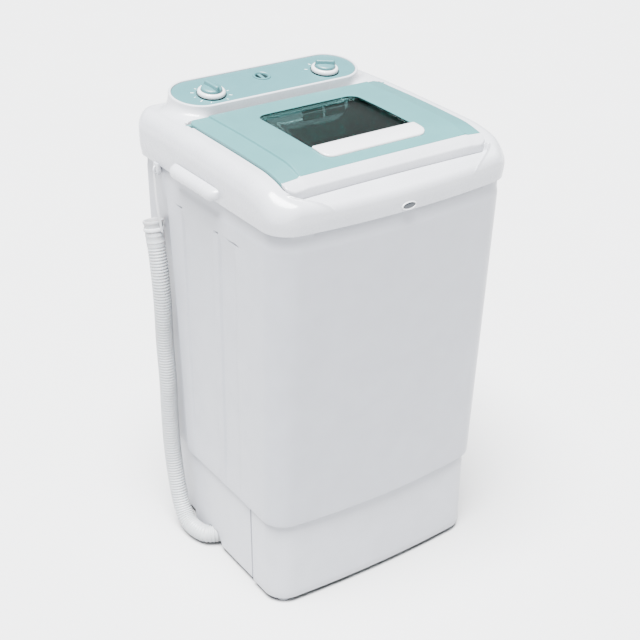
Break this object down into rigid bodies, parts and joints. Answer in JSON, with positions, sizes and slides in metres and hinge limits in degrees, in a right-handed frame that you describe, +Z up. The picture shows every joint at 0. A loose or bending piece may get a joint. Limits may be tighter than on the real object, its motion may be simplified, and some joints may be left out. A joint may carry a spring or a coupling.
{
  "type": "top load washing machine",
  "caption": "Mini single-tub top-load washing machine: tapered white cabinet, teal lid with tinted window, tilted control panel with two dials, drain hose on the left.",
  "frame": {"origin": "on the floor, under the middle of the body's width and depth", "axes": "+Z up, front of the machine towards -Y, control panel at the rear (+Y), drain hose on -X"},
  "size_m": [0.3793, 0.365, 0.6508],
  "materials": {
    "white_body": "satin",
    "white_base": "satin",
    "white_cover": "gloss",
    "white_knob": "gloss",
    "teal_lid": "gloss",
    "teal_panel": "satin",
    "window_tint": "tinted gloss",
    "tub_plastic": "satin",
    "pulsator_plastic": "satin",
    "filter_teal": "matte",
    "mesh_nylon": "woven",
    "badge_dark": "gloss",
    "hose_plastic": "satin",
    "strap_plastic": "matte",
    "pipe_grey": "matte",
    "switch_plastic": "matte",
    "black_plastic": "matte",
    "black_rubber": "matte",
    "foot_rubber": "matte",
    "shaft_steel": "brushed",
    "screw_steel": "zinc plated",
    "bearing_steel": "polished",
    "bearing_alloy": "cast",
    "bracket_steel": "powder coated",
    "motor_paint": "satin",
    "capacitor_can": "satin"
  },
  "bodies": {
    "cabinet": {"tub_housing": "white_body", "rear_cover": "white_body", "base_body": "white_base", "base_front_cap": "white_base", "rear_cover_screws": "screw_steel", "base_screws": "screw_steel", "feet": "foot_rubber", "cord_gland": "black_plastic", "top_cover": "white_cover", "handle_left": "white_cover", "handle_right": "white_cover", "badge": "badge_dark", "control_housing": "white_cover", "control_panel": "teal_panel", "water_inlet_port": "teal_panel", "wash_timer": "switch_plastic", "selector_switch": "switch_plastic", "wash_tub": "tub_plastic", "lint_filter_frame": "filter_teal", "lint_filter_mesh": "mesh_nylon", "overflow_pipe": "pipe_grey", "bearing_housing": "bearing_alloy", "upper_bearing": "bearing_steel", "lower_bearing": "bearing_steel", "shaft_seal": "black_rubber", "drive_belt": "black_rubber", "motor_body": "motor_paint", "motor_bracket": "bracket_steel", "motor_grommets": "black_rubber", "motor_bolts": "screw_steel", "capacitor": "capacitor_can", "wiring_harness": "black_plastic", "drain_valve_body": "pipe_grey", "drain_valve_spring": "shaft_steel", "drain_pipe": "pipe_grey", "drain_hose": "hose_plastic", "hose_cuff": "hose_plastic", "hose_clip": "white_cover", "hose_strap": "strap_plastic"},
    "lid": {"lid_frame": "teal_lid", "lid_front_band": "white_cover", "lid_window": "window_tint", "lid_grip_bar": "white_knob", "lid_hinge_pins": "teal_lid"},
    "timer_dial": {"timer_knob": "white_knob", "timer_knob_grip": "teal_panel", "timer_shaft": "shaft_steel"},
    "selector_dial": {"selector_knob": "white_knob", "selector_knob_grip": "teal_panel", "selector_shaft": "shaft_steel", "selector_cam": "switch_plastic"},
    "drain_valve": {"drain_valve_plunger": "black_rubber", "valve_strap": "switch_plastic"},
    "pulsator_drive": {"pulsator": "pulsator_plastic", "pulsator_screw": "screw_steel", "pulsator_shaft": "shaft_steel", "driven_pulley": "bearing_alloy", "pulley_nut": "screw_steel"},
    "motor_rotor": {"motor_shaft": "shaft_steel", "motor_pulley": "bearing_alloy"}
  },
  "joints": [
    {"name": "lid_hinge", "type": "hinge", "parent": "cabinet", "child": "lid", "pos_m": [0, 0.075, 0.6155], "axis": [-1, 0, 0], "range_deg": [0, 95]},
    {"name": "timer_turn", "type": "hinge", "parent": "cabinet", "child": "timer_dial", "pos_m": [-0.088, 0.12247, 0.6334], "axis": [0, 0.1599, -0.9871], "range_deg": [0, 300]},
    {"name": "selector_turn", "type": "hinge", "parent": "cabinet", "child": "selector_dial", "pos_m": [0.088, 0.12247, 0.6334], "axis": [0, 0.1599, -0.9871], "range_deg": [0, 90]},
    {"name": "valve_lift", "type": "slide", "parent": "cabinet", "child": "drain_valve", "axis": [0, 0, 1], "range_m": [0, 0.008], "deforming": ["drain_valve_spring"]},
    {"name": "pulsator_spin", "type": "hinge", "parent": "cabinet", "child": "pulsator_drive", "pos_m": [0, -0.008, 0.2], "axis": [0, 0, 1], "continuous": true},
    {"name": "motor_spin", "type": "hinge", "parent": "cabinet", "child": "motor_rotor", "pos_m": [0.092, 0.042, 0.1], "axis": [0, 0, 1], "continuous": true}
  ],
  "couplings": [
    {"joint": "valve_lift", "follows": "selector_turn", "m_per_rad": 0.005093},
    {"joint": "motor_spin", "follows": "pulsator_spin", "ratio": 4.5962}
  ]
}
